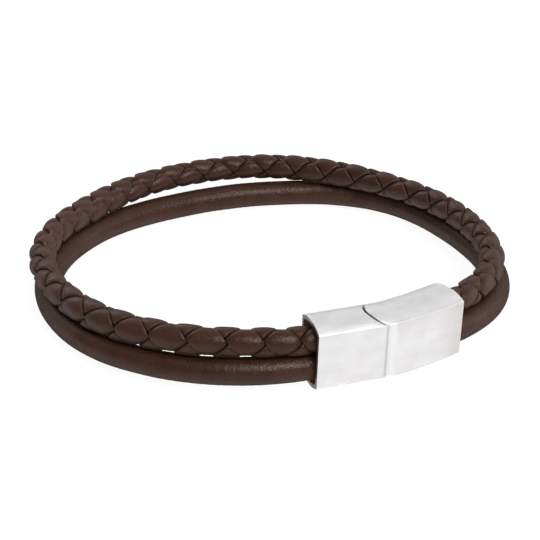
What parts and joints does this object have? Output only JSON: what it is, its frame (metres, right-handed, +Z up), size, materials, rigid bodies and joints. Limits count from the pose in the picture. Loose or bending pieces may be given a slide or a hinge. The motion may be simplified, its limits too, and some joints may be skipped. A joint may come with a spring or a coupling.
{
  "type": "leather bracelet with a two-part steel clasp",
  "caption": "Bracelet of a braided and a smooth round leather strand, held one above the other in a two-part brushed steel clasp.",
  "frame": {"origin": "middle of the bracelet's outline seen from above, on the surface it lies on", "axes": "+Z up, the way the wrist would pass through; +X to the right and -Y toward the viewer of the picture, with the clasp at -Y and +X"},
  "size_m": [0.0772, 0.0671, 0.0108],
  "materials": {
    "brushed_steel": "lengthwise brushed",
    "dark_leather": "smooth dark brown, lightly waxed"
  },
  "bodies": {
    "root": {"clasp_socket": "brushed_steel", "clasp_plug": "brushed_steel", "smooth_cord": "dark_leather", "braid_strip_1": "dark_leather", "braid_strip_2": "dark_leather", "braid_strip_3": "dark_leather", "braid_strip_4": "dark_leather"}
  },
  "joints": []
}
